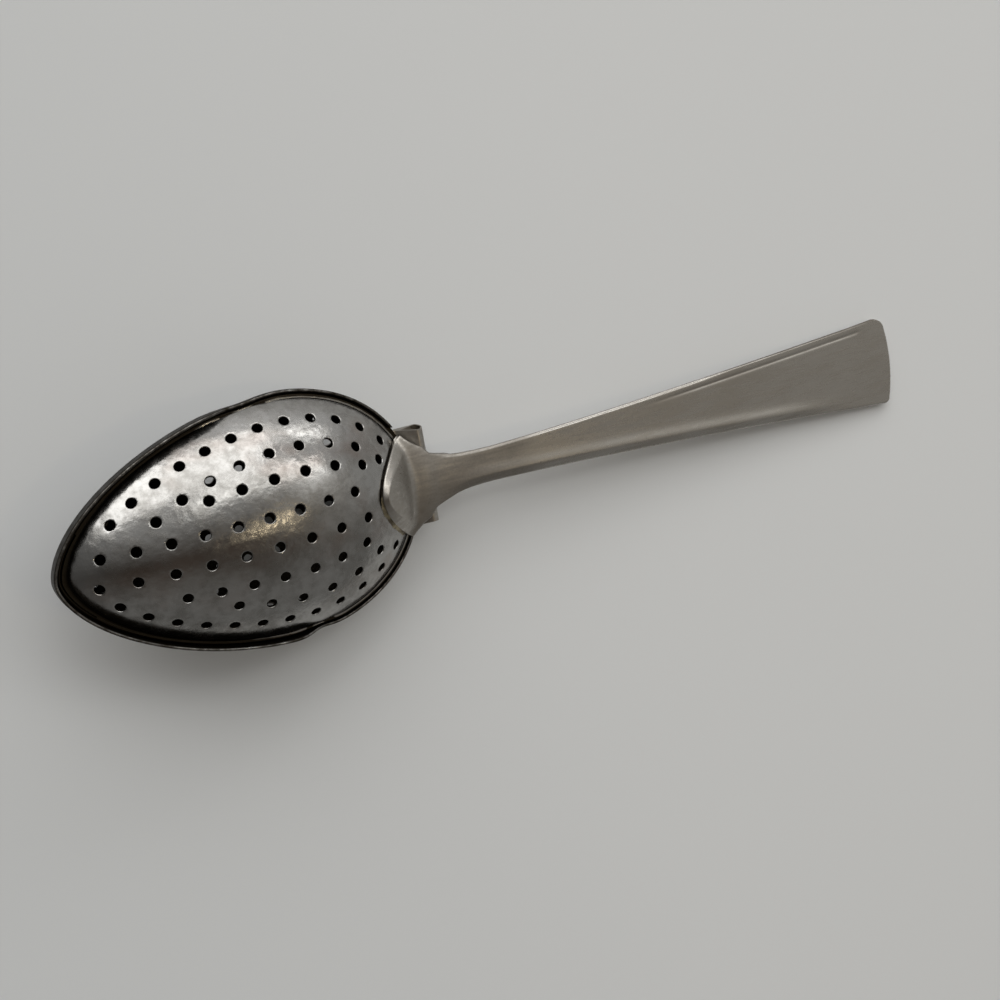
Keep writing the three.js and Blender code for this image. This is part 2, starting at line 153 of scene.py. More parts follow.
def spoon_mm(points):
    """Points in metres of the model's frame, back in mm of the spoon's frame."""
    moved = (np.asarray(points, float) - hinge) / MM
    x = moved[..., 0] * math.cos(LYING_PITCH) - moved[..., 2] * math.sin(LYING_PITCH)
    z = moved[..., 0] * math.sin(LYING_PITCH) + moved[..., 2] * math.cos(LYING_PITCH)
    return np.stack([x + PIN_X, moved[..., 1], z + PIN_Z], axis=-1)


# Curves that several shapes share


def smoothstep(value, start, end):
    """0 before start, 1 after end, and between them an S-curve of the way w: w^2 (3 - 2w)."""
    way = np.clip((value - start) / (end - start), 0, 1)
    return way * way * (3 - 2 * way)


def smooth_max(a, b, width):
    """The higher of two heights, rounded where they meet: half of their sum and of the root of
    the squares of their difference and a width."""
    return (a + b + np.sqrt((a - b) ** 2 + width**2)) / 2


def bell(value, centre, width):
    """A bell curve of height 1: e to the minus square of the distance in widths."""
    return np.exp(-(((value - centre) / width) ** 2))


def edge_round(inset, radius):
    """How far a rounded edge lies below the face, at a distance in from the side: by a quarter
    circle, radius minus the root of radius^2 - (radius - inset)^2."""
    out = radius - np.clip(inset, 0, radius)
    return radius - np.sqrt(np.maximum(radius**2 - out**2, 0))


# Outlines of the bowls, each as its reach to the tip, its reach to the heel and its half width

RIM = np.array([TIP_REACH, HEEL_REACH, HALF_WIDTH])
FLANGE = RIM - SHEET - RIM_CLEARANCE
FOOT = FLANGE - np.array([FLANGE_AT_TIP, FLANGE_AT_HEEL, FLANGE_AT_SIDE])
BACK_FOOT = FOOT + np.array([BACK_AT_TIP, BACK_AT_HEEL, BACK_AT_SIDE])


def middle(x):
    """y of the bowls' middle line. They sit slightly turned on the handle, tip to the near side."""
    return BOWL_TURN * (np.asarray(x, float) - HEEL_X)


def ring(outline, angle):
    """Plan points of an egg outline, with powers of the cosine and sine of the angle:
    x = heel cos^(2/roundness), y = half |sin|^(2/roundness) on the heel side, and
    x = -tip |cos|^(2/roundness), y = half |sin|^(2 fullness) on the tip side, all turned by
    the middle line."""
    outline = np.asarray(outline, float)[..., None, :]
    along, across = np.abs(np.cos(angle)), np.abs(np.sin(angle))
    on_tip = np.cos(angle) < 0
    x = WIDEST_X + np.where(
        on_tip,
        -outline[..., 0] * along ** (2 / TIP_ROUNDNESS),
        outline[..., 1] * along ** (2 / HEEL_ROUNDNESS),
    )
    bulge = across ** np.where(on_tip, 2 * TIP_FULLNESS, 2 / HEEL_ROUNDNESS)
    return x, middle(x) + outline[..., 2] * np.sign(np.sin(angle)) * bulge


def half_across(outline, x):
    """Half width of an egg outline at x."""
    along = np.asarray(x, float) - WIDEST_X
    heel = (1 - np.clip(along / outline[1], 0, 1) ** HEEL_ROUNDNESS) ** (1 / HEEL_ROUNDNESS)
    tip = (1 - np.clip(-along / outline[0], 0, 1) ** TIP_ROUNDNESS) ** TIP_FULLNESS
    return outline[2] * np.where(along >= 0, heel, tip)


def even_angles(count):
    """Angles at which the foot's outline has evenly spaced points."""
    fine = np.linspace(0, 2 * np.pi, 8 * count + 1)
    x, y = ring(FOOT, fine)
    length = np.concatenate([[0], np.cumsum(np.hypot(np.diff(x), np.diff(y)))])
    return np.interp(np.arange(count) / count * length[-1], length, fine)


def share_at(outline, x, y):
    """How far plan points lie from the middle of an outline, 1 on the outline, by bisection."""
    low, high = np.zeros_like(x), np.full_like(x, 4.0)
    for _ in range(36):
        share = (low + high) / 2
        inside = np.abs(y - middle(x)) < half_across([reach * share for reach in outline], x)
        high = np.where(inside, share, high)
        low = np.where(inside, low, share)
    return high


def dome(share):
    """Height of a dome of height 1 at a share of its outline: (1 - share^power)^fullness."""
    return np.clip(1 - share**DOME_POWER, 0, 1) ** DOME_FULLNESS


def dome_shares(count, last):
    """Shares from the crown to last, evenly spaced along the dome's side."""
    share = np.linspace(0, last, 2000)
    way = np.hypot(np.diff(share) * FOOT[2], np.diff(dome(share)) * BOWL_HEIGHT)
    length = np.concatenate([[0], np.cumsum(way)])
    return np.interp(np.linspace(0, length[-1], count + 1)[1:], length, share)


def back_of_bowl(x, y, outside=0.0):
    """Height of the fixed bowl's back, or of a surface at a distance outside it."""
    share = share_at(BACK_FOOT + outside, x, y)
    return SHEET + outside + (BOWL_HEIGHT - SHEET) * dome(share)


def pinched(x, y, weight):
    """y of the rim and flange, pressed in by a bell curve along x where the rim steps down."""
    far, near = (depth * bell(x, centre, width) for depth, centre, width in (PINCH_FAR, PINCH_NEAR))
    return y - weight * np.where(y > 0, far, -near)


# Meshes


def grid_quads(rows, columns):
    """Quads between neighbouring rows of a grid whose last column meets its first."""
    row, column = np.meshgrid(np.arange(rows - 1), np.arange(columns), indexing="ij")
    after = (column + 1) % columns
    corners = [(row, column), (row + 1, column), (row + 1, after), (row, after)]
    return np.stack([r * columns + c for r, c in corners], axis=-1).reshape(-1, 4)


def fan(pole, first, columns, flip):
    """Triangles from a pole to a closed ring of points, facing the other way if flipped."""
    step = np.arange(columns)
    after = (step + 1) % columns
    ends = (after, step) if flip else (step, after)
    return np.stack([np.full(columns, pole), first + ends[0], first + ends[1]], axis=-1)


def closed_faces(rows, columns):
    """Quads between rings of points, and the triangles that join the first and the last ring to
    two poles, whose points follow the rings'."""
    to_first_pole = fan(rows * columns, 0, columns, False)
    to_last_pole = fan(rows * columns + 1, (rows - 1) * columns, columns, True)
    return grid_quads(rows, columns), np.concatenate([to_first_pole, to_last_pole])


def closed_surface(grid, first_pole, last_pole):
    """Points and faces of rings of points, closed at both ends by a pole."""
    points = np.concatenate([grid.reshape(-1, 3), [first_pole, last_pole]])
    quads, triangles = closed_faces(*grid.shape[:2])
    return points, quads.tolist() + triangles.tolist()


def prism(first, last):
    """Points and faces between two closed outlines of as many points, with two flat caps."""
    count = len(first)
    caps = [list(range(count)), list(range(2 * count - 1, count - 1, -1))]
    return np.concatenate([first, last]), grid_quads(2, count).tolist() + caps


def box(spans):
    """Points and faces of a box from its low and high x, y and z."""
    corners = np.array([[x, y, z] for x in spans[0] for y in spans[1] for z in spans[2]], float)
    faces = [[0, 1, 3, 2], [4, 6, 7, 5], [0, 4, 5, 1], [2, 3, 7, 6], [0, 2, 6, 4], [1, 5, 7, 3]]
    return corners, faces


def normals_of(grid):
    """Unit normals of rings of points: the cross product of the steps along and round them."""
    along = np.gradient(grid, axis=0)
    round_ring = np.roll(grid, -1, axis=1) - np.roll(grid, 1, axis=1)
    normal = np.cross(along, round_ring)
    return normal / np.maximum(np.linalg.norm(normal, axis=-1, keepdims=True), 1e-12)


def closed_mesh(name, points, faces):
    """A mesh from points in mm. Its faces look outwards: inward ones give a negative volume."""
    mesh = bpy.data.meshes.new(name)
    mesh.from_pydata(laid(points).tolist(), [], faces)
    count = len(mesh.polygons)
    centres, normals, areas = np.empty(3 * count), np.empty(3 * count), np.empty(count)
    mesh.polygons.foreach_get("center", centres)
    mesh.polygons.foreach_get("normal", normals)
    mesh.polygons.foreach_get("area", areas)
    if np.sum((centres * normals).reshape(-1, 3) * areas[:, None]) < 0:
        mesh.flip_normals()
    return mesh


def smooth_up_to(mesh, sharp_degrees):
    """Shades a mesh smooth, apart from edges that turn by more than an angle."""
    mesh.polygons.foreach_set("use_smooth", np.ones(len(mesh.polygons), bool))
    mesh.set_sharp_from_angle(angle=math.radians(sharp_degrees))
    mesh.update()


def piece(name, points, faces, material, body, sharp_degrees=SHARP_DEGREES):
    """A mesh object from points in mm of the spoon's frame, riding on a body."""
    mesh = closed_mesh(name, points, faces)
    mesh.materials.append(material)
    smooth_up_to(mesh, sharp_degrees)
    made = bpy.data.objects.new(name, mesh)
    bpy.context.scene.collection.objects.link(made)
    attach(made, body)
    return made


def cut(target, points, faces):
    """Cuts a closed mesh, given in mm, out of a piece, and keeps the result as its mesh."""
    cutter = bpy.data.objects.new("cutter", closed_mesh("cutter", points, faces))
    bpy.context.scene.collection.objects.link(cutter)
    modifier = target.modifiers.new("holes", "BOOLEAN")
    modifier.operation = "DIFFERENCE"
    modifier.solver = "MANIFOLD"
    modifier.object = cutter
    evaluated = target.evaluated_get(bpy.context.evaluated_depsgraph_get())
    result = bpy.data.meshes.new_from_object(evaluated)
    target.modifiers.clear()
    target.data = result
    smooth_up_to(result, SHARP_DEGREES)
    bpy.data.objects.remove(cutter)


def store_stain_and_shade(made, amount_at):
    """Stores each point's stain and painted shade, 0 to 1, by its place in mm of the spoon's frame."""
    mesh = made.data
    places = np.empty(3 * len(mesh.vertices))
    mesh.vertices.foreach_get("co", places)
    amounts = amount_at(*spoon_mm(places.reshape(-1, 3)).T)
    # The stored value paints both stain and shade into the colour
    stain_and_shade = mesh.attributes.new("stain_and_shade", "FLOAT", "POINT")
    stain_and_shade.data.foreach_set("value", np.clip(amounts, 0, 1).astype(np.float32))


# Holes: rows that follow the bowl's outline, as in the model. Each row gives its side, how
# many holes it has, its width and reach as shares of the dome's, and its first and last hole.

HOLE_ROWS = [
    (1, 9, 0.137, 3, 2, -0.89, 0.43),
    (-1, 9, 0.126, 3, 2, -0.92, 0.5),
    (1, 6, 0.43, 1.2, 0.81, -0.39, 0.55),
    (-1, 7, 0.4, 1.6, 0.81, -0.57, 0.46),
    (1, 9, 0.64, 0.79, 0.8, -0.63, 0.71),
    (-1, 6, 0.65, 0.79, 0.8, -0.35, 0.58),
    (1, 12, 0.85, 0.96, 0.91, -0.81, 0.785),
    (-1, 12, 0.84, 0.96, 0.91, -0.85, 0.75),
]


def hole_places():
    """Plan points of all holes, evenly spaced along each row."""
    places = []
    for side, count, width, tip, heel, first, last in HOLE_ROWS:
        ends = [WIDEST_X + s * (FOOT[0] if s < 0 else FOOT[1]) for s in (first, last)]
        x = np.linspace(*ends, 400)
        y = middle(x) + side * half_across(FOOT * np.array([tip, heel, width]), x)
        length = np.concatenate([[0], np.cumsum(np.hypot(np.diff(x), np.diff(y)))])
        wanted = np.linspace(0, length[-1], count)
        places.append(np.stack([np.interp(wanted, length, x), np.interp(wanted, length, y)], -1))
    return np.concatenate(places)


def hole_cutters(side, depth_scale):
    """Round cutters square to a dome, as one mesh. Each one's radius follows its height over
    the surface: it is the hole's below the lip, and opens by a quarter circle at the lip.
    side is 1 for the fixed bowl's back and -1 for the lid's, and depth_scale is the dome's
    depth as a share of the fixed bowl's height."""
    turns, below, above = 28, 1.6, 0.5
    quarter = np.linspace(0, np.pi / 2, 7)
    heights = np.concatenate([[-below], -HOLE_LIP + HOLE_LIP * np.sin(quarter), [above]])
    lip = HOLE_RADIUS + HOLE_LIP * (1 - np.cos(quarter))
    radii = np.concatenate([[HOLE_RADIUS], lip, [HOLE_RADIUS + HOLE_LIP]])

    x, y = hole_places().T
    step = 0.05
    slope_x = (back_of_bowl(x + step, y) - back_of_bowl(x - step, y)) / (2 * step)
    slope_y = (back_of_bowl(x, y + step) - back_of_bowl(x, y - step)) / (2 * step)
    normal = np.stack([-slope_x * depth_scale, -slope_y * depth_scale, np.ones_like(x)], -1)
    normal /= np.linalg.norm(normal, axis=-1, keepdims=True)
    across = np.cross(normal, [1.0, 0.0, 0.0])
    across /= np.linalg.norm(across, axis=-1, keepdims=True)
    along = np.cross(across, normal)
    centre = np.stack([x, y, back_of_bowl(x, y) * depth_scale], -1)

    # The axes of the arrays are the hole, the height, the turn and the coordinate
    normal, across, along, centre = (
        vector[:, None, None, :] for vector in (normal, across, along, centre)
    )
    angle = (np.arange(turns) / turns * 2 * np.pi)[:, None]
    heights, radii = heights[:, None, None], radii[:, None, None]
    circle = np.cos(angle) * along + np.sin(angle) * across
    rings = centre + heights * normal + radii * circle
    poles = centre + np.array([-below, above])[:, None, None] * normal
    holes, rows = rings.shape[:2]
    points = np.concatenate([rings.reshape(holes, -1, 3), poles.reshape(holes, 2, 3)], axis=1)
    starts = np.arange(holes)[:, None, None] * points.shape[1]
    quads, triangles = closed_faces(rows, turns)
    faces = (starts + quads).reshape(-1, 4).tolist() + (starts + triangles).reshape(-1, 3).tolist()
    return points.reshape(-1, 3) * [1, 1, side], faces


# Bowls


def rim_top(x, y):
    """Height of the lid's standing rim: high round the tip, one step down towards the hinge."""
    step_x = WIDEST_X + np.where(y > 0, RIM_STEP_FAR, RIM_STEP_NEAR)
    way = smoothstep(x, step_x - RIM_STEP_LENGTH / 2, step_x + RIM_STEP_LENGTH / 2)
    return RIM_HIGH + (RIM_LOW - RIM_HIGH) * way


def shell(rings):
    """A sheet of even thickness, as rings of points from the crown to the edge, and the same
    rings moved by the sheet's thickness against their normals. Each ring is given by its egg
    outline, its height, how far it takes part in the pinch, and its share of the way from the
    rim's base up to the rim's lip."""
    outlines, heights, pinches, rises = (np.array(values) for values in zip(*rings))
    x, y = ring(outlines, even_angles(BOWL_COLUMNS))
    y = pinched(x, y, pinches[:, None])
    z = heights[:, None] + rises[:, None] * (rim_top(x, y) - RIM_LIP - RIM_BASE)
    top = np.stack([x, y, z], axis=-1)
    return top, top - SHEET * normals_of(top)


def fixed_bowl(material):
    """The pressed bowl: a dome on a narrow flat flange, a corner between them that follows a
    quarter of an ellipse, and a bead along the flange's edge that follows a sine."""
    rise = BOWL_HEIGHT - SHEET
    foot_share = (1 - (FLANGE_CORNER / rise) ** (1 / DOME_FULLNESS)) ** (1 / DOME_POWER)
    foot = BACK_FOOT * foot_share
    rings = [
        (BACK_FOOT * share, SHEET + rise * dome(share), 0, 0)
        for share in dome_shares(BACK_RINGS, foot_share)
    ]
    for turn in np.linspace(0, np.pi / 2, 6)[1:]:
        out = CORNER_SHARE * (1 - math.cos(turn))
        height = SHEET + FLANGE_CORNER * (1 - math.sin(turn))
        rings.append((foot + out * (FLANGE - foot), height, out, 0))
    rings += [(foot + out * (FLANGE - foot), SHEET, out, 0) for out in (0.6, 0.8)]
    rings += [(FLANGE - EDGE_BEAD * w, SHEET, 1, 0) for w in np.linspace(1, 0, BEAD_RINGS)]
    top, bottom = shell(rings)
    bead = np.sin(np.linspace(0, 0.8 * np.pi, BEAD_RINGS))
    top[-BEAD_RINGS:, :, 2] += EDGE_BEAD_HEIGHT * bead[:, None]
    crown = np.array([WIDEST_X, middle(WIDEST_X), BOWL_HEIGHT])
    points, faces = closed_surface(
        np.concatenate([top, bottom[::-1]]), crown, crown - [0, 0, SHEET]
    )
    made = piece("fixed_bowl_shell", points, faces, material, "spoon")
    cut(made, *hole_cutters(1, 1))
    store_stain_and_shade(made, back_stain_and_shade)
    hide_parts("fixed_bowl")


def back_stain_and_shade(x, y, z):
    """Dark on the flange and at the dome's foot: tarnish, and painted shade for the shaded gap under
    the lid's rim and the crease where the dome meets the flange. Less on the flange's edge, and dark
    inside the bowl and the holes."""
    share = share_at(BACK_FOOT, x, y)
    outside = z > back_of_bowl(x, y) - 0.12
    on_bead = smoothstep(z, SHEET + 0.08, SHEET + 0.2) * (share > 1)
    # Painted shade over tarnish on the flange and at the dome's foot
    return np.where(outside, smoothstep(share, 0.988, 1.0) - 0.15 * on_bead, 0.9)


def lid_bowl(material):
    """The lid: the same dome turned down, a narrow ledge, and a rim that stands up, with a lip
    that follows half a circle."""
    crown_z = LEDGE_Z - LID_DEPTH + SHEET + LID_GROUND_CLEARANCE
    foot, inside = FOOT - SHEET, RIM - SHEET
    rings = [
        (foot * share, LEDGE_Z + (crown_z - LEDGE_Z) * dome(share), 0, 0)
        for share in dome_shares(LID_RINGS, MOUTH_SHARE)
    ]
    ledge_edge = inside - RIM_CORNER
    rings += [(foot + (ledge_edge - foot) * out, LEDGE_Z, out, 0) for out in (0.3, 0.65, 1)]
    for turn in np.linspace(0, np.pi / 2, 5)[1:]:
        height = LEDGE_Z + RIM_CORNER * (1 - math.cos(turn))
        rings.append((ledge_edge + RIM_CORNER * math.sin(turn), height, 1, 0))
    rings += [(inside, RIM_BASE, 1, way) for way in np.linspace(0, 1, 7)[1:]]
    top, bottom = shell(rings)
    outward = (bottom[-1] - top[-1]) / SHEET
    turn = np.linspace(0, np.pi, 8)[1:-1, None, None]
    round_lip = np.sin(turn) * np.array([0, 0, 1.0]) - np.cos(turn) * outward
    lip = (top[-1] + bottom[-1]) / 2 + RIM_LIP * round_lip
    crown = np.array([WIDEST_X, middle(WIDEST_X), crown_z])
    points, faces = closed_surface(
        np.concatenate([top, lip, bottom[::-1]]), crown, crown - [0, 0, SHEET]
    )
    made = piece("lid_bowl_shell", points, faces, material, "lid")
    cut(made, *hole_cutters(-1, LID_TO_BOWL))
    opening_x, above_rim = (WIDEST_X + HEEL_REACH / 2, 0), 4
    cut(made, *box([opening_x, (-RIM_OPENING_HALF, RIM_OPENING_HALF), (LEDGE_Z, above_rim)]))
    store_stain_and_shade(made, lid_stain_and_shade)
    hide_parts("lid_bowl")


def lid_stain_and_shade(x, y, z):
    """Dark on the ledge, on both sides of the rim and inside the lid, and worn bright along the
    rim's top. On the ledge and the rim the dark is tarnish and painted shade."""
    # Tarnish and painted shade on the ledge and the rim
    rim_stain_and_shade = smoothstep(z, -1.4, -0.7)
    worn = smoothstep(z, rim_top(x, y) - 0.2, rim_top(x, y) - 0.05)
    inside = z > -LID_TO_BOWL * back_of_bowl(x, y) + 0.2
    return np.maximum(0.15 + 0.75 * rim_stain_and_shade - 0.33 * worn, 0.9 * inside * (z < -0.9))


# Handle: rows of points across it, from the tongue's edge to the handle's end. Their columns
# lie at fixed distances from the two side edges, and evenly between them.

EDGE_COLUMNS = np.array([0, 0.04, 0.1, 0.18, 0.28, 0.4, 0.55, 0.75, 0.95, 1.05, 1.15, 1.25,
                         1.35, 1.45, 1.55, 1.65, 1.8, 1.95, 2.1, 2.25, 2.45])

# Distances of the tongue's first rows from its edge
EDGE_STEPS = np.array([0, 0.02, 0.06, 0.12, 0.2, 0.35, 0.55, TONGUE_BEVEL,
                       0.86, 0.98, 1.12, 1.28, 1.42])


def columns(half):
    """y of the columns of rows, from the near to the far edge, by the rows' half widths."""
    between = (half - EDGE_COLUMNS[-1]) * np.linspace(-1, 1, 21)[1:-1]
    near, far = EDGE_COLUMNS - half, (half - EDGE_COLUMNS)[..., ::-1]
    return np.concatenate([near, between, far], axis=-1)


def tongue_edge(y, half):
    """x of the tongue's curved edge, a power of the share of the half width, and how much
    longer a step along x is than one square to the edge."""
    share = np.abs(y) / half
    depth = TONGUE_REACH + TONGUE_CORNER_X
    slope = depth * TONGUE_CURVE / half * share ** (TONGUE_CURVE - 1)
    return -TONGUE_REACH + depth * share**TONGUE_CURVE, np.sqrt(1 + slope**2)


def side_half(x):
    """Half width: the tongue flares out of the neck by a power of the distance, and the handle
    widens from the neck to its end by the taper's power."""
    flare = np.clip((FLARE_END - x) / (FLARE_END - TONGUE_CORNER_X), 0, 1) ** FLARE_POWER
    taper = np.clip((x - NECK_END) / (TAPER_END - NECK_END), 0, 1) ** TAPER_POWER
    return NECK_HALF + (TONGUE_HALF - NECK_HALF) * flare + (END_HALF - NECK_HALF) * taper


def stem_top(x):
    """Height of the neck's and the handle's back, which rises evenly from the hinge."""
    return NECK_BOTTOM + NECK_THICKNESS + HANDLE_RISE * np.maximum(x, 0)


def stem_thickness(x):
    """Thickness, which thins by an S-curve from the neck to the flat end."""
    return NECK_THICKNESS + (END_THICKNESS - NECK_THICKNESS) * smoothstep(x, NECK_END, FLAT_START)


def set_askew(x, y):
    """The tongue sits slightly turned and shifted to the near side, fading out along the neck."""
    turned = TONGUE_TURN * y * (1 - smoothstep(x, -3, 3))
    shifted = TONGUE_SHIFT * (1 - 0.55 * smoothstep(x, -3, 6) - 0.45 * smoothstep(x, 6, 90))
    return x + turned, y + shifted


def tongue_and_neck(x, y, px, py, from_tongue_edge):
    """Height of the back before its sides are worked: the smooth maximum of two faces. One keeps
    an even distance to the dome and thins to the tongue's edge. The other is the neck's, which
    falls away beyond the crease and is slightly crowned across."""
    bevel = np.clip(from_tongue_edge / TONGUE_BEVEL, 0, 1)
    thickness = TONGUE_EDGE + (TONGUE_THICKNESS - TONGUE_EDGE) * bevel
    on_dome = back_of_bowl(px, py, TONGUE_GAP) + thickness
    crease = CREASE_X - CREASE_CURVE * y**2
    on_neck = stem_top(x) - CREASE_SLOPE * smooth_max(crease - x, 0, CREASE_SOFTNESS)
    on_neck -= NECK_CROWN * y**2 * (1 - smoothstep(x, 2, 14))
    softness = NECK_SOFTNESS * (1 - smoothstep(x, -1.5, 2.5))
    return np.where(x < TONGUE_END, smooth_max(on_dome, on_neck, softness), on_neck)


def side_work(x, near, far):
    """How far the back lies below the plain one near its sides. Along the near edge it rises to
    a bell-shaped ridge and rolls off by a power. Along the far edge it has a straight bevel by
    the neck and, towards the end, a thread line, which is a sunk bell curve."""
    fading = smoothstep(x, 0, 9) * (1 - smoothstep(x, 66, 84))
    rolled = ROLL_OFF_DEPTH * np.maximum(ROLL_OFF - near, 0) ** ROLL_OFF_POWER
    ridge = RIDGE * bell(near, ROLL_OFF, RIDGE_WIDTH)
    along_thread = smoothstep(x, THREAD_START, THREAD_START + THREAD_FADE)
    along_thread *= 1 - smoothstep(x, THREAD_END - 1, THREAD_END)
    thread = THREAD_DEPTH * bell(far, THREAD_INSET, THREAD_HALF)
    bevel = FAR_BEVEL_SLOPE * np.maximum(FAR_BEVEL - far, 0)
    return fading * (rolled - ridge) + along_thread * thread + along_bevel(x) * bevel


def along_bevel(x):
    """1 where the far edge is bevelled, fading to 0 at the tongue and along the handle."""
    return smoothstep(x, 0, 5) * (1 - smoothstep(x, 46, 60))


def handle_rows(x, y, half, from_tongue_edge=math.inf):
    """Back and front points of rows across the handle, with rounded edges. The distance from
    the tongue's edge is endless where the rows are past its bevel."""
    near, far = y + half, half - y
    inset = np.minimum(near, far)
    px, py = set_askew(x, y)
    top = tongue_and_neck(x, y, px, py, from_tongue_edge) - side_work(x, near, far)
    rounding = smoothstep(x, 1, 8) * np.where(far < near, 1 - along_bevel(x), 1)
    top -= edge_round(inset, TONGUE_SIDE_ROUND + (SIDE_ROUND - TONGUE_SIDE_ROUND) * rounding)
    top -= edge_round(from_tongue_edge, TONGUE_TIP_ROUND)
    bottom_of_tongue = np.maximum(back_of_bowl(px, py, TONGUE_GAP), NECK_BOTTOM)
    bottom_of_stem = stem_top(x) - stem_thickness(x)
    bottom = np.where(x < TONGUE_END, bottom_of_tongue, bottom_of_stem)
    bottom = np.minimum(bottom + edge_round(inset, SIDE_ROUND), top - LEAST_THICKNESS)
    tuck = 1 - SIDE_TUCK * stem_thickness(x) / half * (x > TONGUE_END)
    return np.stack([px, py, top], -1), np.stack([px, py * tuck, bottom], -1)


def tongue_rows(corner_stretch):
    """Rows at even distances from the tongue's edge."""
    step = EDGE_STEPS[:, None]
    half = side_half(TONGUE_CORNER_X + step * corner_stretch)
    y = columns(half)
    edge_x, stretch = tongue_edge(y, half)
    return handle_rows(edge_x + step * stretch, y, half, step)


def neck_rows(corner_stretch):
    """Rows that go from the last of the tongue's on to the crease, while way grows to 1, and
    from there to a straight row at the neck's root, while way grows to 2."""
    way = np.linspace(0, 2, 33)[1:, None]
    first_side = TONGUE_CORNER_X + EDGE_STEPS[-1] * corner_stretch
    side_way = np.interp(way, [0, 1, 2], [0, CREASE_SHARE, 1])
    half = side_half(first_side + (ROOT_X - first_side) * side_way)
    y = columns(half)
    edge_x, stretch = tongue_edge(y, half)
    start = edge_x + EDGE_STEPS[-1] * stretch
    crease = np.maximum(CREASE_X - CREASE_CURVE * y**2, start + CREASE_ROOM)
    to_crease, to_root = np.minimum(way, 1), np.maximum(way - 1, 0)
    x = start + (crease - start) * to_crease + (ROOT_X - crease) * to_root
    return handle_rows(x, y, half)


def stem_rows():
    """Straight rows from the neck's root to where the end begins."""
    x = np.linspace(ROOT_X, END_START, 150)[1:, None]
    half = side_half(x)
    return handle_rows(x, columns(half), half)


def end_rows():
    """Rows that bend, by a square of y, into the bowed end, and then turn by quarter circles
    round the end's two corners."""
    count = 11
    steps = np.linspace(0, 1, count + 1)[1:]
    way = np.concatenate([steps, np.ones(count)])[:, None]
    turn = np.concatenate([np.zeros(count), steps * np.pi / 2])[:, None]
    across = columns(END_HALF) / END_HALF
    corner = END_CORNER_NEAR + (END_CORNER_FAR - END_CORNER_NEAR) * (across + 1) / 2
    half = side_half(END_START + way * (TAPER_END - END_START))
    y = across * (half - corner * (1 - np.cos(turn)))
    end_x = HANDLE_REACH - corner * (1 - np.sin(turn)) - END_BOW * (y / END_HALF) ** 2
    x = END_START + (end_x - END_START) * way
    return handle_rows(x, y, np.abs(y).max(axis=1, keepdims=True))


def handle(material):
    """One stamping: the tongue over the bowl, the neck, and the flat end, which is bowed and has
    rounded corners and edges."""
    corner_half = side_half(TONGUE_CORNER_X)
    corner_stretch = tongue_edge(corner_half, corner_half)[1]
    parts = [tongue_rows(corner_stretch), neck_rows(corner_stretch), stem_rows(), end_rows()]
    back, front = (np.concatenate(rows) for rows in zip(*parts))
    back[-len(END_ROUNDING):, :, 2] -= END_ROUNDING
    front[-len(END_ROUNDING):, :, 2] += END_ROUNDING
    grid = np.concatenate([back, front[:, ::-1]], axis=1)
    points, faces = closed_surface(grid, grid[0].mean(0), grid[-1].mean(0))
    made = piece("handle_stamping", points, faces, material, "spoon", 50)
    store_stain_and_shade(made, handle_stain_and_shade)
    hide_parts("handle")


def handle_stain_and_shade(x, y, z):
    """Dull on the tongue and dark on the neck, fading along the handle: tarnish, and on the neck also
    painted shade that dims the lamps' glints. Dark in the thread line on the back, and painted shade
    along the far edge of the handle's broad part, which dims its highlight."""
    far = side_half(x) - y
    thread = bell(far, THREAD_INSET + 0.05, 0.22)
    thread *= smoothstep(x, THREAD_START + 2, THREAD_START + THREAD_FADE)
    thread *= 1 - smoothstep(x, THREAD_END - 1.3, THREAD_END)
    # Tarnish, and painted shade that dims the glints on the neck and crease
    neck = (0.3 + 0.17 * smoothstep(x, -6, -2.5)) * (1 - smoothstep(x, 13, 28))
    # Painted shade that dims the highlight along the far edge
    far_edge_painted_shade = 0.6 * smoothstep(-far, -0.45, -0.1) * smoothstep(x, 44, 60)
    return np.maximum(0.4 * thread * (z > stem_top(x) - 0.5), np.maximum(neck, far_edge_painted_shade))


# Hinge


def prism_along_y(profile, near_y, far_y):
    """A profile of (x, z) points drawn along y, between ends that are numbers or one for each
    point."""
    x, z = profile.T
    return prism(*(np.stack([x, np.broadcast_to(y, x.shape), z], -1) for y in (near_y, far_y)))


def arc(centre, radius, start, end, steps):
    """Points (x, z) on an arc, by angles in degrees from +x."""
    angle = np.radians(np.linspace(start, end, steps + 1))
    return centre + radius * np.stack([np.cos(angle), np.sin(angle)], -1)


def outline_prism(outline, low, high):
    """An egg outline drawn along z."""
    x, y = ring(outline, even_angles(BOWL_COLUMNS // 2))
    return prism(*(np.stack([x, y, np.full_like(x, z)], -1) for z in (low, high)))


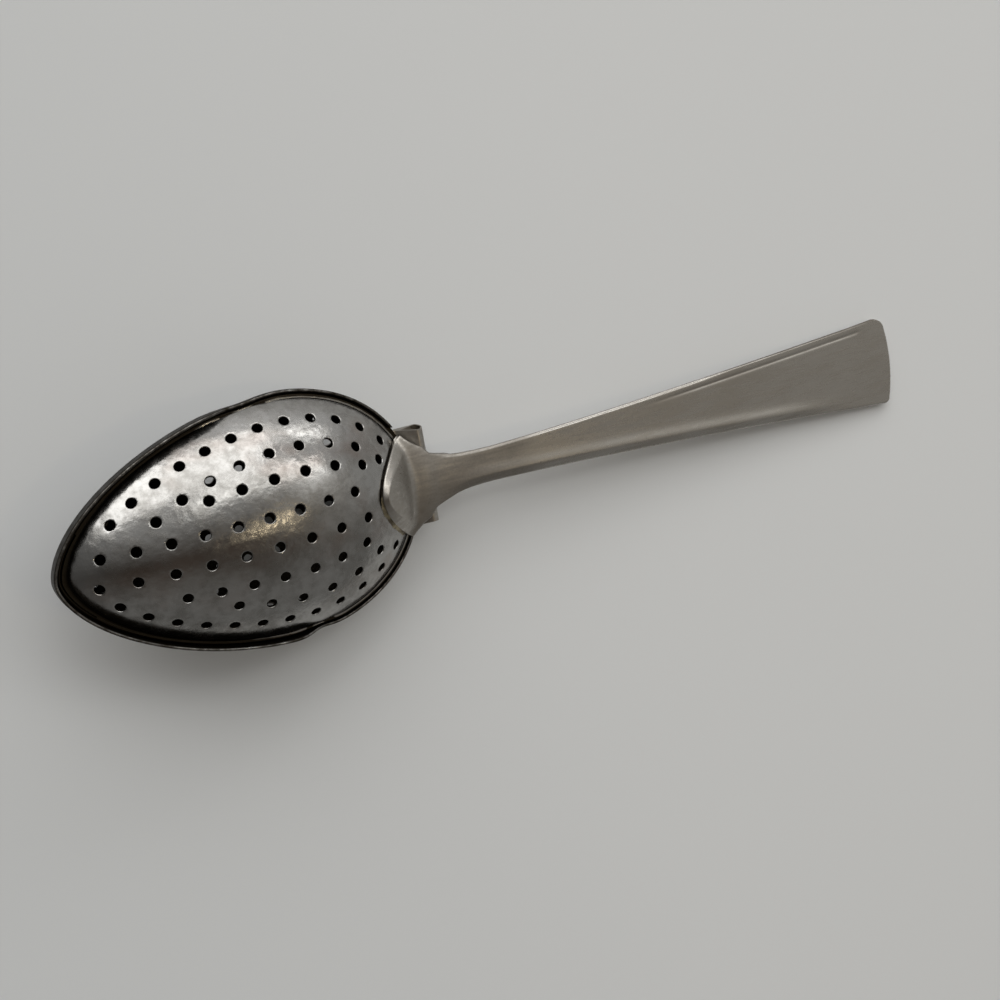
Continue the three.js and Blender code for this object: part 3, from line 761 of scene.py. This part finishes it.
def leaf(material):
    """The lid's leaf: a sheet rolled round the pin, which falls to the lid by a cubic S-curve
    with a given direction at each end. The barrel's far end is cut a little aslant, so its open
    bore shows from above."""
    top = -SHEET - SEAT_GAP - HINGE_CLEARANCE
    bottom = top - LEAF_THICKNESS
    pin_place = np.array([PIN_X, PIN_Z])
    roll = arc(pin_place, BARREL_RADIUS, -90, LEAF_ANGLE, 40)
    start, foot = roll[-1], np.array([LEAF_FOOT_X, top])
    turn = math.radians(LEAF_ANGLE)
    leaving = LEAF_LEAVING * np.array([-math.sin(turn), math.cos(turn)])
    landing = LEAF_LANDING * np.array([-1, 0])
    t = np.linspace(0, 1, 13)[1:, None]
    blend = t * t * (3 - 2 * t)
    fall = start * (1 - blend) + foot * blend
    fall += (t**3 - 2 * t**2 + t) * leaving + (t**3 - t**2) * landing
    profile = np.concatenate([roll, fall, [(LEAF_END_X, top), (LEAF_END_X, bottom)]])
    above = profile[:, 1] - bottom
    near = -BARREL_HALF - NEAR_END_MORE + NEAR_END_SLANT * above
    far = BARREL_HALF + FAR_END_MORE - FAR_END_SLANT * above
    points, faces = prism_along_y(profile, near, far)
    made = piece("lid_leaf_rolled", points, faces, material, "lid")

    past_barrel = BARREL_HALF + BARREL_RADIUS
    bore = arc(pin_place, BORE_RADIUS, 0, 345, 23)
    cut(made, *prism_along_y(bore, -past_barrel, past_barrel))
    lug_room = LUG_HALF + HINGE_CLEARANCE
    lug_x, under_leaf, over_barrel = (PIN_X - BARREL_RADIUS - HINGE_CLEARANCE, 3), -4, 2
    cut(made, *box([lug_x, (-lug_room, lug_room), (under_leaf, over_barrel)]))
    cut(made, *outline_prism(FOOT + SEAT_GAP, under_leaf, 0))
    store_stain_and_shade(made, leaf_stain_and_shade)
    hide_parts("lid_leaf")


def leaf_stain_and_shade(x, y, z):
    """Painted shade in the bore, and a little tarnish elsewhere."""
    # Painted shade in the bore
    return np.where(np.hypot(x - PIN_X, z - PIN_Z) < BORE_RADIUS + 0.1, 0.9, 0.3)


def pin(material):
    """The hinge pin: a rod with chamfered ends, sunk into the barrel."""
    angle = np.linspace(0, 2 * np.pi, 25)[:-1]
    reach = BARREL_HALF - PIN_SUNK
    y = np.array([-reach, PIN_CHAMFER - reach, reach - PIN_CHAMFER, reach])[:, None]
    radius = PIN_RADIUS - PIN_CHAMFER * np.array([1, 0, 0, 1])[:, None]
    x, z = PIN_X + radius * np.cos(angle), PIN_Z + radius * np.sin(angle)
    grid = np.stack([x, np.broadcast_to(y, x.shape), z], -1)
    points, faces = closed_surface(grid, [PIN_X, -reach, PIN_Z], [PIN_X, reach, PIN_Z])
    made = piece("hinge_pin_rod", points, faces, material, "spoon")
    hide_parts("hinge_pin")


# Solder along the tongue's edge

SOLDER_REACH = 0.9
SOLDER_NARROW, SOLDER_BROAD, SOLDER_HEIGHT, SOLDER_POWER = 0.05, 0.55, 0.3, 1.5

# The waves of its width, as height, turns per mm in radians, and start
SOLDER_WAVES = ((0.105, 2.3, 0), (0.075, 5.1, 1))


def near_side(y):
    """0 on the far side of the spoon and 1 on the near side, changing close to its middle."""
    return smoothstep(-y, -1.0, 2.0)


def bowl_solder(material):
    """A fillet of solder along the tongue's edge. Its height falls outwards by a power. Its
    width wanders by two sines, and is broader on the near side and narrower at both ends."""
    corner_half = side_half(TONGUE_CORNER_X)
    along = np.linspace(-SOLDER_REACH, SOLDER_REACH, 120)[:, None]
    y = along * corner_half
    edge_x, stretch = tongue_edge(y, corner_half)
    sideways = np.sign(y) * np.sqrt(np.maximum(stretch**2 - 1, 0))
    outward_x, outward_y = -1 / stretch, sideways / stretch
    wander = sum(height * np.sin(y * pace + start) for height, pace, start in SOLDER_WAVES)
    width = SOLDER_NARROW + (SOLDER_BROAD - SOLDER_NARROW) * near_side(y)
    width *= (1 + wander) * np.minimum(1, (SOLDER_REACH - np.abs(along)) / 0.08 + 0.25)
    share = np.linspace(0, 1, 9)
    under, edge = np.full_like(y, -0.35), -0.05
    out = np.concatenate([under, under, edge + (width - edge) * share, width], axis=1)
    fillet = SOLDER_HEIGHT * (1 - share) ** SOLDER_POWER + 0.02
    rise = np.concatenate([[-0.03, 0.06], fillet, [-0.03]]) * np.minimum(1, width / 0.25)
    px, py = set_askew(edge_x + outward_x * out, y + outward_y * out)
    grid = np.stack([px, py, back_of_bowl(px, py) + rise], -1)
    points, faces = closed_surface(grid, grid[0].mean(0), grid[-1].mean(0))
    made = piece("bowl_solder_fillet", points, faces, material, "spoon", 60)
    store_stain_and_shade(made, solder_painted_shade)
    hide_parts("bowl_solder")


def solder_painted_shade(x, y, z):
    """Painted shade: black on the far side, where the fillet shows only as a dark line of shadow."""
    # Painted shade, black on the far side
    return 1 - near_side(y)


# Materials

EVEN = (1, 1, 1)
# Near black, for real stain and for painted shade alike
BLACK_STAIN_AND_SHADE = (0.02, 0.016, 0.011)


def add(tree, kind, inputs, **properties):
    """A node with its properties set, and each input set to a value or linked to a socket."""
    node = tree.nodes.new(kind)
    for name, value in properties.items():
        setattr(node, name, value)
    for name, value in inputs.items():
        if isinstance(value, bpy.types.NodeSocket):
            tree.links.new(value, node.inputs[name])
        else:
            node.inputs[name].default_value = value
    return node


def mix(tree, share, a, b):
    """A colour between two colours, each given as a value or as a socket."""
    node = add(tree, "ShaderNodeMix", {0: share}, data_type="RGBA")
    for index, value in ((6, a), (7, b)):
        if isinstance(value, bpy.types.NodeSocket):
            tree.links.new(value, node.inputs[index])
        else:
            node.inputs[index].default_value = (*value, 1)
    return node.outputs[2]


def sums(tree, *terms):
    """The sum of sockets, each given with its factor."""
    total = None
    for socket, factor in terms:
        node = add(tree, "ShaderNodeMath", {0: socket, 1: factor}, operation="MULTIPLY")
        if total is not None:
            node = add(tree, "ShaderNodeMath", {0: total, 1: node.outputs[0]}, operation="ADD")
        total = node.outputs[0]
    return total


def clouds(tree, stretch, scale, detail=4, roughness=0.55):
    """Noise in the spoon's place, with its grain per metre, stretched by a factor per axis."""
    place = add(tree, "ShaderNodeTexCoord", {}).outputs["Object"]
    mapped = add(tree, "ShaderNodeMapping", {"Vector": place, "Scale": stretch})
    values = {"Vector": mapped.outputs[0], "Scale": scale, "Detail": detail, "Roughness": roughness}
    return add(tree, "ShaderNodeTexNoise", values).outputs[0]


def ranged(tree, socket, low, high, to_low=0.0, to_high=1.0):
    """A socket's range mapped smoothly to another range."""
    values = {"Value": socket, "From Min": low, "From Max": high, "To Min": to_low, "To Max": to_high}
    return add(tree, "ShaderNodeMapRange", values, interpolation_type="SMOOTHSTEP").outputs[0]


def bump(tree, height, distance, normal=None):
    """A normal from a height of 0 to 1, which stands for a distance in metres, added to the
    relief of another normal if one is given."""
    inputs = {"Height": height, "Distance": distance, "Strength": 1.0}
    if normal is not None:
        inputs["Normal"] = normal
    return add(tree, "ShaderNodeBump", inputs).outputs[0]


def stored_stain_and_shade(tree):
    """The stored stain and painted shade, 0 on a piece that has none."""
    return add(tree, "ShaderNodeAttribute", {}, attribute_name="stain_and_shade").outputs["Fac"]


def metal(name):
    """A new material with a metallic shader, its node tree and the shader."""
    material = bpy.data.materials.new(name)
    material.use_nodes = True
    tree = material.node_tree
    shader = tree.nodes["Principled BSDF"]
    shader.inputs["Metallic"].default_value = 1.0
    return material, tree, shader


def polished_silver():
    """Pressed silver plate: cloudy patina, brownish patches that are patina and a painted brown
    reflection, fine scratches, shallow dents, and black where the stored stain and painted shade lie."""
    material, tree, shader = metal("polished_silver")
    patches = clouds(tree, EVEN, 130, 5)
    clumps = clouds(tree, EVEN, 700, 5, 0.65)
    specks = clouds(tree, EVEN, 2600, 3)
    browns = clouds(tree, (0.6, 1, 1), 95, 3)
    scratches = clouds(tree, (0.12, 1, 1), 5200, 3, 0.7)
    cross_scratches = clouds(tree, (1, 0.1, 1), 4100, 2, 0.7)
    dull = ranged(tree, sums(tree, (patches, 0.6), (clumps, 0.4)), 0.38, 0.62)
    # Brown patches: patina, and a painted brown reflection of the room
    brown_patina_and_reflection = ranged(tree, browns, 0.5, 0.72, 0, 0.55)
    speck = ranged(tree, specks, 0.68, 0.76, 0, 0.5)
    stain_and_shade = ranged(tree, sums(tree, (stored_stain_and_shade(tree), 1.0), (clumps, 0.5)), 0.55, 0.95)
    colour = mix(tree, dull, (0.35, 0.343, 0.33), (0.225, 0.217, 0.204))
    colour = mix(tree, brown_patina_and_reflection, colour, (0.22, 0.165, 0.138))
    colour = mix(tree, speck, colour, (0.12, 0.1, 0.08))
    # Black from the stored value: real stain and painted shade
    colour = mix(tree, stain_and_shade, colour, BLACK_STAIN_AND_SHADE)
    tree.links.new(colour, shader.inputs["Base Color"])
    polish = ranged(tree, clumps, 0.3, 0.7, 0.12, 0.2)
    rough = sums(tree, (polish, 1.0), (dull, 0.07), (scratches, 0.06), (stain_and_shade, 0.25))
    tree.links.new(rough, shader.inputs["Roughness"])
    dents = bump(tree, sums(tree, (patches, 1.0), (clouds(tree, EVEN, 330, 2), 0.3)), 0.0002)
    fine = sums(tree, (scratches, 1.0), (cross_scratches, 0.7), (clumps, 1.2))
    tree.links.new(bump(tree, fine, 0.0000035, dents), shader.inputs["Normal"])
    return material


def brushed_silver():
    """Worn satin plate: warm grey, with streaks and fine brushing along the handle, and dark where the
    stored stain and painted shade lie.
    """
    material, tree, shader = metal("brushed_silver")
    patches = clouds(tree, (0.5, 1, 1), 160, 4)
    streaks = clouds(tree, (0.06, 1, 1), 1500, 4, 0.6)
    brushing = clouds(tree, (0.03, 1, 1), 6500, 3, 0.7)
    grains = clouds(tree, EVEN, 2400, 4, 0.7)
    stored = stored_stain_and_shade(tree)
    stain_and_shade = ranged(tree, sums(tree, (stored, 1.0), (grains, 0.15), (streaks, 0.1)), 0.25, 0.95)
    dull = ranged(tree, sums(tree, (patches, 0.55), (streaks, 0.45)), 0.38, 0.62)
    colour = mix(tree, dull, (0.42, 0.4, 0.368), (0.345, 0.322, 0.29))
    colour = mix(tree, ranged(tree, grains, 0.6, 0.75, 0, 0.35), colour, (0.24, 0.21, 0.18))
    # Dark from the stored value: tarnish and painted shade
    colour = mix(tree, stain_and_shade, colour, (0.09, 0.075, 0.058))
    tree.links.new(colour, shader.inputs["Base Color"])
    rough = sums(tree, (dull, 0.1), (brushing, 0.14), (streaks, 0.1), (grains, 0.2), (stain_and_shade, 0.4))
    tree.links.new(rough, shader.inputs["Roughness"])
    dents = bump(tree, patches, 0.00006)
    fine = sums(tree, (brushing, 1.0), (streaks, 1.5), (grains, 0.4))
    tree.links.new(bump(tree, fine, 0.0000014, dents), shader.inputs["Normal"])
    return material


def tarnished_solder():
    """Lumpy solder, golden brown, and black where painted shade is stored on it."""
    material, tree, shader = metal("tarnished_solder")
    lumps = clouds(tree, EVEN, 500, 4)
    colour = mix(tree, ranged(tree, lumps, 0.42, 0.66), (0.12, 0.1, 0.07), (0.33, 0.285, 0.19))
    # Black: painted shade from the stored value
    colour = mix(tree, stored_stain_and_shade(tree), colour, BLACK_STAIN_AND_SHADE)
    tree.links.new(colour, shader.inputs["Base Color"])
    tree.links.new(ranged(tree, lumps, 0.3, 0.7, 0.6, 0.35), shader.inputs["Roughness"])
    tree.links.new(bump(tree, lumps, 0.00012), shader.inputs["Normal"])
    return material


# Stage

TABLE_REACH = 3.0
BOWLS_X = -0.044


def plain_table():
    """A flat pale table, a little darker to the left: painted shade."""
    mesh = bpy.data.meshes.new("table")
    corners = [(x * TABLE_REACH, y * TABLE_REACH, 0) for x, y in ((-1, -1), (1, -1), (1, 1), (-1, 1))]
    mesh.from_pydata(corners, [], [(0, 1, 2, 3)])
    material = bpy.data.materials.new("table")
    material.use_nodes = True
    tree = material.node_tree
    shader = tree.nodes["Principled BSDF"]
    place = add(tree, "ShaderNodeTexCoord", {}).outputs["Object"]
    across = add(tree, "ShaderNodeSeparateXYZ", {0: place}).outputs["X"]
    # Painted shade: the table is darker to the left
    painted_light_rightwards = ranged(tree, across, -0.13, 0.06)
    shade = sums(tree, (painted_light_rightwards, 1.0), (clouds(tree, EVEN, 25, 3), 0.12))
    colour = mix(tree, shade, (0.66, 0.67, 0.67), (0.715, 0.72, 0.715))
    tree.links.new(colour, shader.inputs["Base Color"])
    shader.inputs["Roughness"].default_value = 0.65
    shader.inputs["Specular IOR Level"].default_value = 0.25
    mesh.materials.append(material)
    table = bpy.data.objects.new("table", mesh)
    bpy.context.scene.collection.objects.link(table)


def arch(tree, share, tones):
    """Tones of an arch over the table, by degrees from -90 (near side) over the top to 90."""
    ramp = add(tree, "ShaderNodeValToRGB", {"Fac": share})
    elements = ramp.color_ramp.elements
    elements[0].position, elements[0].color = 0, (*tones[0][1], 1)
    elements[1].position, elements[1].color = 1, (*tones[-1][1], 1)
    for degrees, tone in tones[1:-1]:
        elements.new((degrees + 90) / 180).color = (*tone, 1)
    return ramp.outputs["Color"]


def surroundings():
    """The room. Its tones follow the angle of a direction round the x axis, with one arch over
    the bowls and another over the handle's side, where a pale wall stands. It is darker
    towards the bowls' tip, and plain straight along x, where the arches meet in a point."""
    world = bpy.data.worlds.new("room")
    bpy.context.scene.world = world
    world.use_nodes = True
    tree = world.node_tree
    background = tree.nodes["Background"]
    direction = add(tree, "ShaderNodeTexCoord", {}).outputs["Generated"]
    split = add(tree, "ShaderNodeSeparateXYZ", {0: direction})
    sockets = {0: split.outputs["Y"], 1: split.outputs["Z"]}
    angle = add(tree, "ShaderNodeMath", sockets, operation="ARCTAN2").outputs[0]
    values = {"Value": angle, "From Min": -math.pi / 2, "From Max": math.pi / 2}
    share = add(tree, "ShaderNodeMapRange", values).outputs[0]
    over_bowls = arch(tree, share, [
        (-90, (0.28, 0.28, 0.272)),
        (-58, (0.25, 0.246, 0.238)),
        (-42, (0.19, 0.184, 0.173)),
        (-24, (0.1, 0.078, 0.064)),
        (-8, (0.085, 0.07, 0.06)),
        (8, (0.22, 0.213, 0.205)),
        (20, (0.42, 0.42, 0.415)),
        (36, (0.5, 0.5, 0.5)),
        (50, (0.75, 0.75, 0.75)),
        (66, (0.95, 0.95, 0.95)),
        (90, (0.9, 0.9, 0.9)),
    ])
    over_handle = arch(tree, share, [
        (-90, (0.28, 0.28, 0.272)),
        (-45, (0.28, 0.275, 0.265)),
        (-20, (0.32, 0.31, 0.292)),
        (-4, (0.4, 0.385, 0.36)),
        (6, (0.7, 0.69, 0.66)),
        (14, (1.15, 1.14, 1.11)),
        (26, (0.8, 0.8, 0.79)),
        (38, (0.5, 0.5, 0.5)),
        (60, (0.7, 0.7, 0.7)),
        (90, (0.7, 0.7, 0.7)),
    ])
    along = split.outputs["X"]
    room = mix(tree, ranged(tree, along, 0.3, 0.62), over_bowls, over_handle)
    room = mix(tree, ranged(tree, along, -0.3, -0.7, 0.0, 0.8), room, (0.1, 0.1, 0.098))
    room = mix(tree, ranged(tree, along, -0.72, -0.94), room, (0.2, 0.2, 0.197))
    room = mix(tree, ranged(tree, along, 0.8, 0.94), room, (0.45, 0.45, 0.44))
    tree.links.new(room, background.inputs["Color"])
    background.inputs["Strength"].default_value = 1.0


def lamp(name, direction, distance, size, radiance, colour):
    """A rectangular lamp whose long side runs along x. direction is (degrees from overhead
    towards the far side, degrees towards the handle), as seen from the bowls."""
    over, along = (math.radians(angle) for angle in direction)
    light = bpy.data.lights.new(name, "AREA")
    light.shape = "RECTANGLE"
    light.size, light.size_y = size
    light.energy = radiance * math.pi * size[0] * size[1]
    light.color = colour
    made = bpy.data.objects.new(name, light)
    x = BOWLS_X + distance * math.tan(along)
    made.location = (x, distance * math.sin(over), distance * math.cos(over))
    made.rotation_euler = (-over, 0, 0)
    bpy.context.scene.collection.objects.link(made)


def lamps():
    """Soft daylight from the far side, and a small warm lamp overhead, which glints gold."""
    lamp("window", (57, -9), 1.9, (1.9, 1.2), 2.25, (1.0, 1.0, 0.99))
    lamp("second_window", (66, 36), 1.9, (1.1, 0.34), 3.0, (1.0, 1.0, 0.99))
    lamp("high_pane", (31, 25), 1.9, (1.9, 0.5), 2.4, (1.0, 1.0, 0.98))
    lamp("bulb", (-5, 21), 0.9, (0.12, 0.03), 22.0, (1.0, 0.84, 0.58))


def camera():
    """The photograph's view: a place, the point of the table in the middle of the picture, and
    the roll about the line of sight."""
    place = Vector((-0.0709, 0.0425, 0.20995))
    target = Vector((-0.0036, -0.0087, 0))
    roll_degrees = 115.36
    lens = bpy.data.cameras.new("camera")
    lens.sensor_width = 36
    lens.lens = 46.86
    lens.clip_start = 0.01
    made = bpy.data.objects.new("camera", lens)
    made.location = place
    turn = (target - place).to_track_quat("-Z", "Y")
    roll = Quaternion((0, 0, 1), math.radians(roll_degrees))
    made.rotation_euler = (turn @ roll).to_euler()
    bpy.context.scene.collection.objects.link(made)
    bpy.context.scene.camera = made


silver = polished_silver()
satin = brushed_silver()
solder = tarnished_solder()
fixed_bowl(silver)
lid_bowl(silver)
handle(satin)
leaf(satin)
pin(satin)
bowl_solder(solder)

# Two pieces that hardly show, under the neck and under the leaf, keep the model's meshes
for node_name, finish in [("handle_lug", satin), ("lid_solder", solder)]:
    node = frame["nodes"][node_name]
    node.data.materials.clear()
    node.data.materials.append(finish)

plain_table()
surroundings()
lamps()
camera()
bpy.context.scene.view_settings.view_transform = "Standard"
